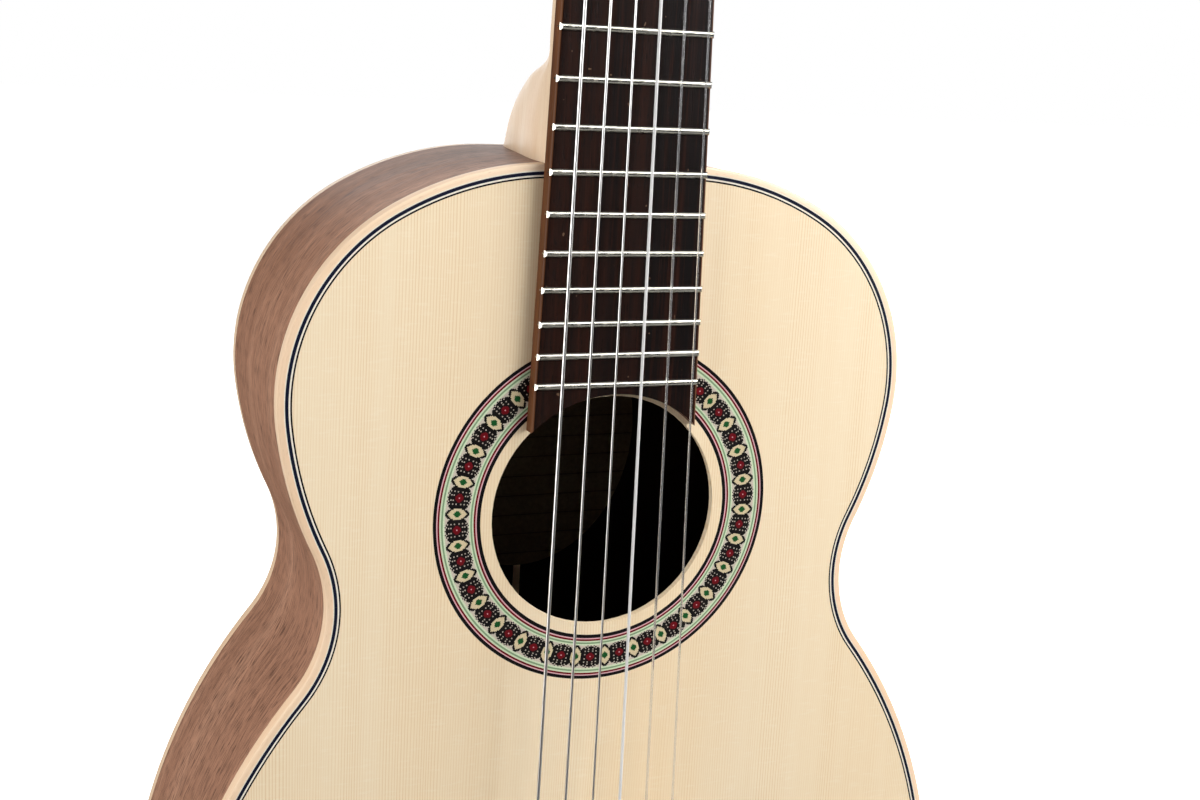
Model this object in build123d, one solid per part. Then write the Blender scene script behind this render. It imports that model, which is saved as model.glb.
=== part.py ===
from build123d import *
from math import cos, pi, radians, sin, sqrt
import os

# Classical guitar of quarter size, in millimetres.
# +Z runs up the neck, the face looks towards -Y and the treble side is +X.
# The origin is on the centre line, where the fingerboard meets the nut, in the plane of the face.

# Strings and fingerboard
SCALE = 480.0
FRETS = 18
NUT_WIDTH = 44.0
WIDTH_AT_BODY_FRET = 55.9
BOARD = 5.0
BOARD_ROUND = 1.2
FRET_CROWN = 1.0
FRET_WIDTH = 2.2
FRET_TANG = 0.6
FRET_TANG_DEPTH = 1.8
FRET_BEVEL = 0.7
NUT_LENGTH = 5.0
NUT_HEIGHT = 7.9
NUT_BACK_DROP = 1.6
NUT_FRONT_DROP = 0.4
NUT_CREST_Z = 2.0

# From the thick bass string to the thin treble string
STRING_DIAMETERS = [1.15, 0.95, 0.8, 1.05, 0.85, 0.75]
STRING_SHIFT = 0.7
STRING_GAP_NUT = 7.37
STRING_GAP_SADDLE = 10.45
STRING_Y_NUT = -7.4
STRING_Y_SADDLE = -14.7
STRING_GROOVE = 0.02
STRING_BEND = 1.6

# Body outline: half of the flat stretch at the neck, then tangent arcs down the treble side as
# (radius, sweep). A negative radius is the hollow of the waist, and one more arc closes the tail.
BODY_TOP = -237.6
FLAT_HALF = 22.7
ARCS = [(108.9, 29.4), (72.4, 67.5), (138.6, 18.0), (-46.3, 63.5), (204.0, 27.2), (79.8, 75.2)]
TOP_PLATE = 2.4
RIB = 2.2
BINDING_HEIGHT = 5.0
PURFLING_WIDTH = 2.5
INLAY_DEPTH = 1.5
LINING_WIDTH = 6.0
LINING_HEIGHT = 12.0
BACK_PLATE = 2.5
BACK_RADIUS = 4000.0
DEPTH_AT_NECK = 82.0
BACK_CREST_Z = -499.5
STRIP_HALF = 1.5
GRAFT_HALF = 4.0
BACK_BRACE_Z = (-290.0, -455.0, -560.0)
FIT_GAP = 0.05

# Neck: depth behind the fingerboard, and how square its section is
GRIP_TOP = -30.0
GRIP_BOTTOM = -196.0
GRIP_DEPTHS = (15.4, 16.6)
GRIP_POWER = 2.0
SECTION_STEPS = 24

# Soundhole and rosette
HOLE_Z = -356.35
HOLE_RADIUS = 41.0
ROSETTE_INNER = 45.0
ROSETTE_OUTER = 61.4
BOARD_END_RADIUS = 42.7
LABEL_RADII = (46.0, 55.0)
LABEL_Z = -350.0
LABEL_THICKNESS = 0.3

# Bridge
BRIDGE_HALF = 74.0
BRIDGE_BLOCK_HALF = 36.0
BRIDGE_TOP_Z = -475.5
BRIDGE_BOTTOM_Z = -502.0
WING_HEIGHT = 3.4
WING_EDGE = 2.1
BRIDGE_CORNER = 4.0
SADDLE_REST = 9.0
SADDLE_Z = -482.0
SADDLE_THICK = 2.4
SADDLE_TOP_Y = -14.5
SADDLE_FOOT_Y = -5.0
TIE_TOP_Z = -489.0
TIE_BOTTOM_Z = -499.5
TIE_HEIGHT = 9.0
TIE_HOLE_Y = -5.6
TIE_HOLE_RADIUS = 0.8
CAP = 0.8
CAP_WIDTH = 1.6

# Headstock, in its own plane: x across, v up along it, w out of its front
HEAD_TILT = 14.0
HEAD_THICK = 16.0
VENEER = 1.5
HEAD_HALF = 29.0
HEAD_SHOULDER = 148.0
HEAD_TIP = 164.0
SLOT_INNER = 5.0
SLOT_OUTER = 18.5
SLOT_START = 20.0
SLOT_END = 134.0
ROLLER_V = [45.0, 80.0, 115.0]
ROLLER_W = -7.0
ROLLER_RADIUS = 5.0
ROLLER_INNER = 2.0
RUNNING_GAP = 0.08
WINDING_X = [15.0, 10.5, 7.5]
WINDING_STEP = [-1, 1, 1]
WINDING_TURNS = 4

# Tuning machines
PLATE = 1.2
PLATE_V = (27.0, 128.0)
PLATE_W = (-14.0, -1.0)
TEETH = 15
GEAR_PITCH_RADIUS = 6.3
GEAR_TIP_RADIUS = 6.95
GEAR_ROOT_RADIUS = 5.3
GEAR_THICK = 2.4
TOOTH_ROOT_ANGLE = 0.15
TOOTH_TIP_ANGLE = 0.045
WORM_PITCH_RADIUS = 2.4
WORM_RADIUS = 3.2
WORM_CORE = 1.55
THREAD_ROOT_HALF = 0.70
THREAD_CREST_HALF = 0.20
WORM_SHAFT = 1.5
WORM_OUT = 3.4
WORM_HALF = 4.0
WORM_PITCH = 2 * pi * GEAR_PITCH_RADIUS / TEETH
SHAFT_RADIUS = 2.5
EAR = 1.2
EAR_HALF = 2.8
EAR_GAP = 0.4
BUTTON_START_W = -18.5
BUTTON_LENGTH = 15.0
BUTTON_RADII = (8.0, 4.6)
BUTTON_ROUND = 2.6
COLLAR_RADIUS = 2.6
SCREW_V = [30.0, 59.0, 95.0, 125.0]
SCREW_RADIUS = 1.1
SCREW_LENGTH = 7.0
SCREW_HEAD = 2.0
SCREW_HEAD_HEIGHT = 0.9

HALF_SPACE = 400.0
HEAD = Plane(origin=(0, 0, NUT_LENGTH), x_dir=(1, 0, 0),
             z_dir=(0, -cos(radians(HEAD_TILT)), sin(radians(HEAD_TILT))))
BACK_CENTRE_Y = DEPTH_AT_NECK - sqrt(BACK_RADIUS ** 2 - (BODY_TOP - BACK_CREST_Z) ** 2)


def save(name, *shapes):
    """Write the pieces of one node."""
    solids = [s for shape in shapes for s in shape.solids()]
    export_step(Compound(children=solids), f"parts/{name}.step")


def box(x, y, z):
    """Box between the low and high values given for each axis."""
    middle = [(low + high) / 2 for low, high in (x, y, z)]
    size = [high - low for low, high in (x, y, z)]
    return Pos(*middle) * Box(*size)


def slab(sketch, front, back):
    """Sketch drawn as (x, z), stretched from one depth to another."""
    return extrude(Plane.XZ.offset(-front) * sketch, back - front, dir=(0, 1, 0))


def turned(radius, x0, x1, y=0.0, z=0.0):
    """Round bar along X."""
    return Pos((x0 + x1) / 2, y, z) * Rot(0, 90, 0) * Cylinder(radius, x1 - x0)


# Outlines of the body

def outline_arcs(inset):
    """Start, middle and end of each arc down the treble side."""
    x, z, heading = FLAT_HALF, BODY_TOP - inset, 0.0
    arcs = []
    for radius, sweep in ARCS:
        r = radius - inset
        turn = -radians(sweep) if radius > 0 else radians(sweep)
        cx, cz = x + sin(heading) * r, z - cos(heading) * r
        points = [(cx - sin(heading + part * turn) * r, cz + cos(heading + part * turn) * r)
                  for part in (0.0, 0.5, 1.0)]
        arcs.append(points)
        x, z = points[-1]
        heading += turn
    return arcs, heading


def outline(inset=0.0):
    """Face of the body's outline, as much smaller as the inset says."""
    arcs, heading = outline_arcs(inset)
    x, z = arcs[-1][2]
    closing = -x / sin(heading)
    bottom = z - cos(heading) * closing - closing
    edges = [Line((-FLAT_HALF, BODY_TOP - inset), (FLAT_HALF, BODY_TOP - inset))]
    for points in arcs:
        edges.append(ThreePointArc(*points))
        edges.append(ThreePointArc(*[(-px, pz) for px, pz in points]))
    edges.append(ThreePointArc((x, z), (0, bottom), (-x, z)))
    return make_face(edges)


def ring(outer, inner):
    return outline(outer) - outline(inner)


def back_ball(inset):
    """Ball whose far side is the domed back, or a surface inside it."""
    return Pos(0, BACK_CENTRE_Y, BACK_CREST_Z) * Sphere(BACK_RADIUS - inset)


def under_back(sketch, front, inset):
    """Sketch stretched from a depth to the domed surface at an inset from the back."""
    return slab(sketch, front, DEPTH_AT_NECK + 20) & back_ball(inset)


def at_back(sketch, outer, inner):
    """Domed layer between two insets from the back."""
    return under_back(sketch, DEPTH_AT_NECK - 30, outer) - back_ball(inner)


def tail_z():
    return outline().bounding_box().min.Y


def half(shape, side, cut=0.0):
    """The part of a shape on one side of the centre line."""
    x = (cut, HALF_SPACE) if side > 0 else (-HALF_SPACE, -cut)
    return shape & box(x, (-HALF_SPACE, HALF_SPACE), (-2 * HALF_SPACE, HALF_SPACE))


# Strings

def string_x(number, z):
    """Sideways place of a string, numbered from 0 on the bass side."""
    gap = STRING_GAP_NUT + (STRING_GAP_SADDLE - STRING_GAP_NUT) * -z / SCALE
    return STRING_SHIFT + gap * (number - 2.5)


def machine_of(number):
    """Side and row of the machine that a string runs to."""
    return (-1, number) if number < 3 else (1, 5 - number)


def head_point(x, v, w):
    return tuple(HEAD.from_local_coords((x, v, w)))


def string_points(number):
    radius = STRING_DIAMETERS[number] / 2
    side, row = machine_of(number)
    tie_x = string_x(number, SADDLE_Z)
    top = ROLLER_W + ROLLER_RADIUS + radius + 0.3
    return [(tie_x, TIE_HOLE_Y, TIE_BOTTOM_Z - 2.0),
            (tie_x, TIE_HOLE_Y, TIE_TOP_Z + 0.8),
            (tie_x, STRING_Y_SADDLE, SADDLE_Z - 0.9),
            (string_x(number, 0), STRING_Y_NUT, 1.5),
            head_point(side * WINDING_X[row], ROLLER_V[row], top)]


def string_bar(number, grow=0.0):
    """String swept along its real path, or a slightly thicker tool of the same shape."""
    points = string_points(number)
    path = FilletPolyline(*points, radius=STRING_BEND)
    start = Plane(origin=points[0], z_dir=(0, 0, 1))
    return sweep(start * Circle(STRING_DIAMETERS[number] / 2 + grow), path=path)


# Body

def soundboard():
    hole = Pos(0, HOLE_Z) * Circle(HOLE_RADIUS)
    channel = Pos(0, HOLE_Z) * (Circle(ROSETTE_OUTER) - Circle(ROSETTE_INNER))
    plate = slab(outline(RIB), INLAY_DEPTH, TOP_PLATE)
    plate += slab(outline(RIB + PURFLING_WIDTH) - channel, 0, INLAY_DEPTH)
    plate -= slab(hole, -1, TOP_PLATE + 1)
    return half(plate, -1), half(plate, 1)


def rosette():
    return slab(Pos(0, HOLE_Z) * (Circle(ROSETTE_OUTER) - Circle(ROSETTE_INNER)), 0, INLAY_DEPTH)


def ribs():
    side = under_back(ring(0, RIB), BINDING_HEIGHT, BINDING_HEIGHT)
    return half(side, -1, GRAFT_HALF), half(side, 1, GRAFT_HALF)


def end_graft():
    graft = under_back(ring(0, RIB), BINDING_HEIGHT, BINDING_HEIGHT)
    return graft & box((-GRAFT_HALF, GRAFT_HALF), (0, 100), (tail_z() - 1, tail_z() + 20))


def back_plate():
    plate = at_back(outline(RIB), 0, BACK_PLATE)
    return half(plate, -1, STRIP_HALF), half(plate, 1, STRIP_HALF)


def back_strip():
    plate = at_back(outline(RIB), 0, BACK_PLATE)
    return plate & box((-STRIP_HALF, STRIP_HALF), (0, 120), (-700, 0))


def foot_block():
    """Foot of the neck, inside the body."""
    foot = Pos(0, BODY_TOP - RIB - 16) * Rectangle(44, 32)
    return under_back(foot, TOP_PLATE, BACK_PLATE)


def tail_block():
    """Block inside the tail, as wide as the joint of the ribs needs."""
    block = outline(RIB) & (Pos(0, tail_z() + 7) * Rectangle(40, 16))
    return under_back(block, TOP_PLATE, BACK_PLATE)


def linings(blocks):
    """Strips that join the ribs to the top and to the back."""
    strip = ring(RIB, RIB + LINING_WIDTH)
    top = slab(strip, TOP_PLATE, TOP_PLATE + LINING_HEIGHT) - blocks
    back = at_back(strip, BACK_PLATE, BACK_PLATE + LINING_HEIGHT) - blocks
    return top, back


def harmonic_bars():
    inside = outline(RIB + LINING_WIDTH + FIT_GAP)
    bars = []
    for z in (HOLE_Z + HOLE_RADIUS + 11, HOLE_Z - HOLE_RADIUS - 12):
        bar = inside & (Pos(0, z) * Rectangle(400, 6))
        bars.append(slab(bar, TOP_PLATE, TOP_PLATE + 13))
    return bars


def fan_braces():
    """Light bars that spread out below the soundhole."""
    braces = []
    for index in (-2, -1, 0, 1, 2):
        lean = 7.0 * index
        length = 160 - 14 * abs(index)
        bar = Pos(22.0 * index, -497 + 3 * abs(index)) * Rot(0, 0, lean) * Rectangle(4.5, length)
        braces.append(slab(bar, TOP_PLATE, TOP_PLATE + 4.5))
    return braces


def back_braces():
    inside = outline(RIB + LINING_WIDTH + FIT_GAP)
    braces = []
    for z in BACK_BRACE_Z:
        bar = inside & (Pos(0, z) * Rectangle(400, 7))
        braces.append(at_back(bar, BACK_PLATE, BACK_PLATE + 11))
    return braces


def label():
    oval = Pos(0, LABEL_Z) * Ellipse(*LABEL_RADII)
    return at_back(oval, BACK_PLATE, BACK_PLATE + LABEL_THICKNESS)


# Neck

def neck_section(z, half_width, depth, power, taper):
    """Section of the neck: flat in front, rounded behind and narrower towards its back."""
    points = []
    for step in range(1, SECTION_STEPS):
        angle = pi * step / SECTION_STEPS
        deep = sin(angle) ** (2 / power)
        wide = abs(cos(angle)) ** (2 / power)
        sign = 1 if cos(angle) > 0 else -1
        points.append((sign * half_width * (1 - taper * deep) * wide, depth * deep))
    rim = [(half_width, 0)] + points + [(-half_width, 0)]
    curve = Spline(*rim, tangents=[(0, 1), (0, -1)])
    flat = Line((-half_width, 0), (half_width, 0))
    return Plane.XY.offset(z) * make_face([curve, flat])


def board_half(z):
    slope = (WIDTH_AT_BODY_FRET - NUT_WIDTH) / 2 / (SCALE / 2)
    return NUT_WIDTH / 2 - slope * z


def throat():
    """Smooth change from the square end at the head to the grip."""
    stations = [(NUT_LENGTH, 16.4, 5.0), (-6, 15.9, 3.6), (-18, 15.5, 2.6),
                (GRIP_TOP, GRIP_DEPTHS[0], GRIP_POWER)]
    return loft([neck_section(z, board_half(z), depth, power, 0.0) for z, depth, power in stations])


def grip():
    """Straight shaft of the neck, a little wider and deeper towards the body."""
    ends = zip((GRIP_TOP, GRIP_BOTTOM), GRIP_DEPTHS)
    return loft([neck_section(z, board_half(z), depth, GRIP_POWER, 0.0) for z, depth in ends], ruled=True)


def heel():
    """Heel lofted from the grip's section down to the ribs."""
    stations = [(GRIP_BOTTOM, GRIP_DEPTHS[1], GRIP_POWER, 0.0), (-200, 20.0, 2.0, 0.02),
                (-203.5, 26.0, 1.9, 0.05), (-206.5, 33.5, 2.3, 0.09), (-209.5, 42.0, 3.5, 0.14),
                (-213, 51.5, 4.3, 0.19), (-218, 61.5, 5.3, 0.25), (-224, 70.0, 6.2, 0.29),
                (-230, 76.5, 6.7, 0.33), (BODY_TOP, DEPTH_AT_NECK, 7.0, 0.36)]
    sections = [neck_section(z, board_half(z), depth, power, taper)
                for z, depth, power, taper in stations]
    return loft(sections)


def web():
    """Tongue of the heel between the ribs, up to the foot inside."""
    tongue = Pos(0, BODY_TOP - RIB / 2) * Rectangle(2 * GRAFT_HALF, RIB)
    return under_back(tongue, BINDING_HEIGHT, BINDING_HEIGHT)


def fret_z(number):
    return -SCALE * (1 - 2 ** (-number / 12))


def fret_slot(number, half_width):
    z = fret_z(number)
    half_tang = FRET_TANG / 2
    return box((-half_width, half_width), (-BOARD, FRET_TANG_DEPTH - BOARD), (z - half_tang, z + half_tang))


def fingerboard():
    end = HOLE_Z
    sides = Polygon((-board_half(0), 0), (board_half(0), 0), (board_half(end), end),
                    (-board_half(end), end), align=None)
    board = slab(sides, -BOARD, 0)
    edges = board.edges().filter_by(lambda edge: abs(edge.center().X) > NUT_WIDTH / 4)
    board = fillet(edges.group_by(Axis.Y)[0], BOARD_ROUND)
    board -= slab(Pos(0, HOLE_Z) * Circle(BOARD_END_RADIUS), -BOARD, 0)
    for number in range(1, FRETS + 1):
        board -= fret_slot(number, NUT_WIDTH)
    return board


def fret(number):
    """Crown with a tang below it, bevelled at both ends."""
    z = fret_z(number)
    reach = board_half(z)
    top = -BOARD - FRET_CROWN
    half_width = FRET_WIDTH / 2
    arc = ThreePointArc((-BOARD, z - half_width), (top, z), (-BOARD, z + half_width))
    section = Plane.YZ * make_face([arc, Line((-BOARD, z + half_width), (-BOARD, z - half_width))])
    wire = extrude(section, reach, both=True) + fret_slot(number, reach)
    crest = reach - FRET_BEVEL
    bevel = Polygon((-reach, 0), (reach, 0), (reach, -BOARD), (crest, top), (-crest, top),
                    (-reach, -BOARD), align=None)
    return wire & extrude(Plane.XY.offset(z - FRET_WIDTH) * bevel, 2 * FRET_WIDTH, dir=(0, 0, 1))


def nut():
    reach = board_half(0)
    profile = Polygon((0, 0), (0, NUT_LENGTH), (NUT_BACK_DROP - NUT_HEIGHT, NUT_LENGTH),
                      (-NUT_HEIGHT, NUT_CREST_Z), (NUT_FRONT_DROP - NUT_HEIGHT, 0), align=None)
    return extrude(Plane.YZ * profile, reach, both=True)


# Bridge

def wing_profile():
    """Section of the bridge's wings: a low arch."""
    middle = (BRIDGE_TOP_Z + BRIDGE_BOTTOM_Z) / 2
    arch = ThreePointArc((-WING_EDGE, BRIDGE_BOTTOM_Z), (-WING_HEIGHT, middle), (-WING_EDGE, BRIDGE_TOP_Z))
    rest = Polyline((-WING_EDGE, BRIDGE_TOP_Z), (0, BRIDGE_TOP_Z), (0, BRIDGE_BOTTOM_Z),
                    (-WING_EDGE, BRIDGE_BOTTOM_Z))
    return Plane.YZ * make_face([arch, rest])


def saddle_rest():
    """Raised part of the bridge that holds the saddle, sloping towards the soundhole."""
    front, back = BRIDGE_TOP_Z - 0.4, SADDLE_Z - 3.2
    side = Polygon((0, front), (3.5 - SADDLE_REST, front), (-SADDLE_REST, front - 3.0),
                   (-SADDLE_REST, back), (0, back), align=None)
    return extrude(Plane.YZ * side, BRIDGE_BLOCK_HALF, both=True)


def bridge():
    middle = (BRIDGE_TOP_Z + BRIDGE_BOTTOM_Z) / 2
    plan = Pos(0, middle) * RectangleRounded(2 * BRIDGE_HALF, BRIDGE_TOP_Z - BRIDGE_BOTTOM_Z, BRIDGE_CORNER)
    body = extrude(wing_profile(), BRIDGE_HALF, both=True) & slab(plan, -WING_HEIGHT, 0)
    body += saddle_rest()
    body += box((-BRIDGE_BLOCK_HALF, BRIDGE_BLOCK_HALF), (-TIE_HEIGHT, 0), (TIE_BOTTOM_Z, TIE_TOP_Z))
    body -= saddle_blank()
    hole = Cylinder(TIE_HOLE_RADIUS, TIE_TOP_Z - TIE_BOTTOM_Z + 6)
    for number in range(6):
        body -= Pos(string_x(number, SADDLE_Z), TIE_HOLE_Y, (TIE_TOP_Z + TIE_BOTTOM_Z) / 2) * hole
    return body


def saddle_blank():
    half_thick = SADDLE_THICK / 2
    reach = BRIDGE_BLOCK_HALF - 2
    return box((-reach, reach), (SADDLE_TOP_Y, SADDLE_FOOT_Y), (SADDLE_Z - half_thick, SADDLE_Z + half_thick))


def tie_block_caps():
    reach = BRIDGE_BLOCK_HALF
    depth = (-TIE_HEIGHT - CAP, -TIE_HEIGHT)
    front = box((-reach, reach), depth, (TIE_TOP_Z - CAP_WIDTH, TIE_TOP_Z))
    rear = box((-reach, reach), depth, (TIE_BOTTOM_Z, TIE_BOTTOM_Z + CAP_WIDTH))
    return front, rear


# Headstock, drawn in its own plane

def head_outline():
    foot = board_half(NUT_LENGTH)
    side = []
    for s in (-1, 1):
        flare = ThreePointArc((s * foot, 3), (s * (foot + 2.2), 8.5), (s * HEAD_HALF, 14))
        shoulder = ThreePointArc((s * HEAD_HALF, HEAD_SHOULDER), (s * 23.5, 156.5), (s * 12, HEAD_TIP - 4))
        crest = ThreePointArc((s * 12, HEAD_TIP - 4), (s * 6.5, HEAD_TIP - 1.2), (0, HEAD_TIP))
        side += [Line((s * foot, -12), (s * foot, 3)), flare,
                 Line((s * HEAD_HALF, 14), (s * HEAD_HALF, HEAD_SHOULDER)), shoulder, crest]
    return make_face(side + [Line((-foot, -12), (foot, -12))])


def head_slots():
    width = SLOT_OUTER - SLOT_INNER
    slot = RectangleRounded(width, SLOT_END - SLOT_START, 5)
    middle = ((SLOT_OUTER + SLOT_INNER) / 2, (SLOT_START + SLOT_END) / 2)
    return Pos(*middle) * slot + Pos(-middle[0], middle[1]) * slot


def string_ramps():
    """Slopes that lead the strings down into the slots."""
    profile = Polygon((SLOT_START - 7, VENEER + 0.2), (SLOT_START + 6, VENEER + 0.2), (SLOT_START + 6, -7),
                      align=None)
    plane = Plane(origin=(0, 0, 0), x_dir=(0, 1, 0), z_dir=(1, 0, 0))
    ramp = Pos(SLOT_INNER + 1, 0, 0) * extrude(plane * profile, SLOT_OUTER - SLOT_INNER - 2, dir=(1, 0, 0))
    return ramp + mirror(ramp, about=Plane.YZ)


def above_nut(shape):
    """Place a headstock shape and cut it off at the joint behind the nut."""
    placed = HEAD.location * shape
    return placed & box((-50, 50), (-60, 90), (NUT_LENGTH, HALF_SPACE))


def machine_holes():
    """Seats of the rollers and of the plate screws, on the treble side."""
    holes = []
    for v in ROLLER_V:
        holes.append(turned(ROLLER_RADIUS + RUNNING_GAP, ROLLER_INNER, HEAD_HALF + 1, v, ROLLER_W))
    for v in SCREW_V:
        holes.append(turned(SCREW_RADIUS, HEAD_HALF - SCREW_LENGTH, HEAD_HALF + 1, v, plate_middle()))
    return holes


def headstock():
    block = extrude(head_outline() - head_slots(), -HEAD_THICK) - string_ramps()
    for hole in machine_holes():
        block -= hole
        block -= mirror(hole, about=Plane.YZ)
    return above_nut(block)


def headstock_veneer():
    return above_nut(extrude(head_outline() - head_slots(), VENEER) - string_ramps())


# Tuning machines, drawn on the treble side in the headstock's plane

def plate_middle():
    return (PLATE_W[0] + PLATE_W[1]) / 2


def worm_x():
    return HEAD_HALF + PLATE + WORM_OUT


def worm_v(row):
    return ROLLER_V[row] - GEAR_PITCH_RADIUS - WORM_PITCH_RADIUS


def bearing_ears(row):
    """Two upright tabs that carry the worm's shaft."""
    v = worm_v(row)
    ears = []
    for w in (ROLLER_W - WORM_HALF - EAR_GAP - EAR, ROLLER_W + WORM_HALF + EAR_GAP):
        ear = box((HEAD_HALF + PLATE, worm_x() + EAR_HALF), (v - EAR_HALF, v + EAR_HALF), (w, w + EAR))
        hole = Pos(worm_x(), v, w + EAR / 2) * Cylinder(WORM_SHAFT + RUNNING_GAP, 3 * EAR)
        ears.append(ear - hole)
    return ears


def tuner_plate():
    plate = box((HEAD_HALF, HEAD_HALF + PLATE), PLATE_V, PLATE_W)
    for row in range(3):
        plate -= turned(SHAFT_RADIUS + RUNNING_GAP, HEAD_HALF - 1, HEAD_HALF + 2, ROLLER_V[row], ROLLER_W)
        for ear in bearing_ears(row):
            plate += ear
    for v in SCREW_V:
        plate -= turned(SCREW_RADIUS, HEAD_HALF - 1, HEAD_HALF + 2, v, plate_middle())
    return plate


def plate_screws():
    screws = []
    for v in SCREW_V:
        shank = turned(SCREW_RADIUS, HEAD_HALF - SCREW_LENGTH, HEAD_HALF + PLATE, v, plate_middle())
        head = turned(SCREW_HEAD, HEAD_HALF + PLATE, HEAD_HALF + PLATE + SCREW_HEAD_HEIGHT, v, plate_middle())
        screws.append(shank + head)
    return screws


def tooth_points(turn):
    """Outline of the gear in (v, w), with a gap where it meets the worm."""
    pitch = 2 * pi / TEETH
    corners = [(GEAR_ROOT_RADIUS, -TOOTH_ROOT_ANGLE), (GEAR_TIP_RADIUS, -TOOTH_TIP_ANGLE),
               (GEAR_TIP_RADIUS, TOOTH_TIP_ANGLE), (GEAR_ROOT_RADIUS, TOOTH_ROOT_ANGLE)]
    points = []
    for tooth in range(TEETH):
        middle = pi + (tooth + 0.5) * pitch + turn
        points += [(r * cos(middle + a), r * sin(middle + a)) for r, a in corners]
    return points


def gear(row):
    """Worm wheel with slanted teeth and the screw that holds it on its shaft."""
    lead_slope = WORM_PITCH / (2 * pi * WORM_PITCH_RADIUS)
    twist = lead_slope * GEAR_THICK / 2 / GEAR_PITCH_RADIUS
    sections = []
    for s in (-1, 1):
        place = Plane(origin=(worm_x() + s * GEAR_THICK / 2, ROLLER_V[row], ROLLER_W),
                      x_dir=(0, 1, 0), z_dir=(1, 0, 0))
        sections.append(place * make_face(Polyline(*tooth_points(s * twist), close=True)))
    outer = worm_x() + GEAR_THICK / 2
    wheel = loft(sections, ruled=True) - turned(SHAFT_RADIUS, 25, 45, ROLLER_V[row], ROLLER_W)
    screw = turned(SHAFT_RADIUS - 0.3, outer, outer + SCREW_HEAD_HEIGHT, ROLLER_V[row], ROLLER_W)
    return wheel, screw


def barrel(row, diameter):
    """Roller with its shaft, and the turns of string wound on it."""
    v = ROLLER_V[row]
    roller = turned(ROLLER_RADIUS, ROLLER_INNER + 0.3, HEAD_HALF - 0.2, v, ROLLER_W)
    roller += turned(SHAFT_RADIUS, HEAD_HALF - 0.2, worm_x() + GEAR_THICK / 2, v, ROLLER_W)
    turns = []
    for turn in range(1, WINDING_TURNS + 1):
        x = WINDING_X[row] + WINDING_STEP[row] * diameter * 1.12 * turn
        winding = Torus(ROLLER_RADIUS + diameter / 2 + 0.02, diameter / 2)
        turns.append(Pos(x, v, ROLLER_W) * Rot(0, 90, 0) * winding)
    return [roller] + turns


def worm_thread():
    """Right-handed ridge about +Z, with a crest facing +Y at mid height."""
    turns = 2 * (WORM_HALF + WORM_PITCH) / WORM_PITCH
    bottom = -turns / 2 * WORM_PITCH
    path = Pos(0, 0, bottom) * Helix(WORM_PITCH, turns * WORM_PITCH, WORM_PITCH_RADIUS)
    root, crest = WORM_CORE - 0.25, WORM_RADIUS + 0.2
    section = Plane.XZ * Polygon((root, bottom - THREAD_ROOT_HALF), (crest, bottom - THREAD_CREST_HALF),
                                 (crest, bottom + THREAD_CREST_HALF), (root, bottom + THREAD_ROOT_HALF),
                                 align=None)
    ridge = sweep(section, path=path, is_frenet=True)
    start_angle = 90 - 360 * turns / 2
    return Rot(0, 0, start_angle % 360) * ridge


def worm(row):
    """Threaded shaft that turns in the two ears and carries the button."""
    place = Pos(worm_x(), worm_v(row), ROLLER_W)
    body = Cylinder(WORM_CORE, 2 * WORM_HALF) + (worm_thread() & Cylinder(WORM_RADIUS, 2 * WORM_HALF))
    front = ROLLER_W + WORM_HALF + EAR_GAP + EAR + 0.5
    shaft_length = front - (BUTTON_START_W + 2)
    shaft = Pos(worm_x(), worm_v(row), front - shaft_length / 2) * Cylinder(WORM_SHAFT, shaft_length)
    return place * body + shaft


def button(row):
    """Flattened oval grip with a collar."""
    blade = extrude(Ellipse(*BUTTON_RADII), -BUTTON_LENGTH)
    blade = fillet(blade.edges(), BUTTON_ROUND)
    collar = Pos(0, 0, -1) * Cylinder(COLLAR_RADIUS, 6)
    return Pos(worm_x(), worm_v(row), BUTTON_START_W) * (blade + collar)


def on_head(shape, side):
    """Place a piece of the treble side's machines, or its mirror image on the bass side."""
    placed = shape if side > 0 else mirror(shape, about=Plane.YZ)
    return HEAD.location * placed


def write_body():
    blocks = foot_block() + tail_block()
    save("soundboard", *soundboard())
    save("rosette", rosette())
    save("top_purfling", slab(ring(RIB, RIB + PURFLING_WIDTH), 0, INLAY_DEPTH))
    save("top_binding", slab(ring(0, RIB), 0, BINDING_HEIGHT))
    save("back_binding", at_back(ring(0, RIB), 0, BINDING_HEIGHT))
    bass_rib, treble_rib = ribs()
    save("rib_bass", bass_rib)
    save("rib_treble", treble_rib)
    save("end_graft", end_graft())
    save("back_plate", *back_plate())
    save("back_strip", back_strip())
    save("neck_foot", foot_block())
    save("tail_block", tail_block())
    save("linings", *linings(blocks))
    save("harmonic_bars", *harmonic_bars())
    save("fan_braces", *fan_braces())
    save("back_braces", *back_braces())
    save("label", label())


def write_neck():
    grooves = [string_bar(number, STRING_GROOVE) for number in range(6)]
    save("neck", throat() + grip() + heel() + web())
    save("headstock", headstock())
    save("headstock_veneer", headstock_veneer())
    save("fingerboard", fingerboard())
    save("frets", *[fret(number) for number in range(1, FRETS + 1)])
    save("nut", nut() - grooves)
    save("saddle", saddle_blank() - grooves)
    save("bridge", bridge())
    save("tie_block_caps", *tie_block_caps())


def write_machines():
    save("tuner_plate_bass", on_head(tuner_plate(), -1))
    save("tuner_plate_treble", on_head(tuner_plate(), 1))
    screws = plate_screws()
    save("plate_screws", *[on_head(screw, side) for side in (-1, 1) for screw in screws])
    for number in range(6):
        name = 6 - number
        side, row = machine_of(number)
        save(f"string_{name}", string_bar(number))
        save(f"barrel_{name}", *[on_head(piece, side) for piece in barrel(row, STRING_DIAMETERS[number])])
        save(f"gear_{name}", *[on_head(piece, side) for piece in gear(row)])
        save(f"worm_{name}", on_head(worm(row), side))
        save(f"button_{name}", on_head(button(row), side))


os.makedirs("parts", exist_ok=True)
write_body()
write_neck()
write_machines()
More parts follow.
